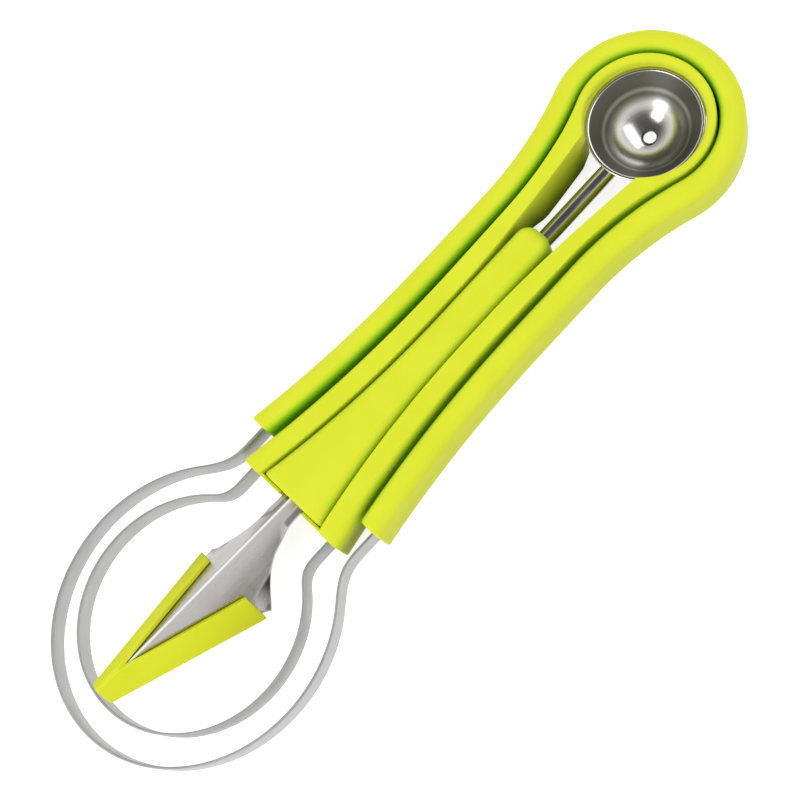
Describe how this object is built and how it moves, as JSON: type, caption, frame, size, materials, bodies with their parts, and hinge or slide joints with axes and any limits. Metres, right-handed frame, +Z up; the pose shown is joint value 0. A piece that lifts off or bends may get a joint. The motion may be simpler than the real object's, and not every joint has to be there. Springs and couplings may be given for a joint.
{
  "type": "nested fruit scoop and carving tool",
  "caption": "Lime plastic fruit tool: nested horseshoe handles with steel band scoop loops around a core handle with a melon baller and a V-folded carving blade in a clip-on guard.",
  "frame": {"origin": "centre of the bounding box's base, under the middle of the tool's length as it lies on its back", "axes": "+X along the tool towards the round end with the melon baller, +Z up out of the face that shows the blade's ridge, +Y to the side"},
  "size_m": [0.2412, 0.0746, 0.0239],
  "materials": {
    "lime_plastic": "satin moulded polypropylene, lime green",
    "guard_plastic": "satin moulded polypropylene, yellower lime",
    "satin_steel": "satin stainless steel",
    "polished_steel": "polished stainless steel"
  },
  "bodies": {
    "outer_tool": {"outer_handle": "lime_plastic", "outer_loop": "satin_steel"},
    "middle_tool": {"middle_handle": "lime_plastic", "middle_loop": "satin_steel"},
    "core_tool": {"core_handle": "lime_plastic", "baller_rod": "polished_steel", "baller_bowl": "polished_steel", "carving_blade": "satin_steel"},
    "guard": {"blade_guard": "guard_plastic"}
  },
  "joints": [
    {"name": "middle_lift", "type": "slide", "parent": "outer_tool", "child": "middle_tool", "axis": [0, 0, 1], "range_m": [0, 0.03]},
    {"name": "core_lift", "type": "slide", "parent": "middle_tool", "child": "core_tool", "axis": [0, 0, 1], "range_m": [0, 0.03]},
    {"name": "guard_slide", "type": "slide", "parent": "core_tool", "child": "guard", "axis": [-0.9954, 0, 0.0958], "range_m": [0, 0.018]}
  ]
}
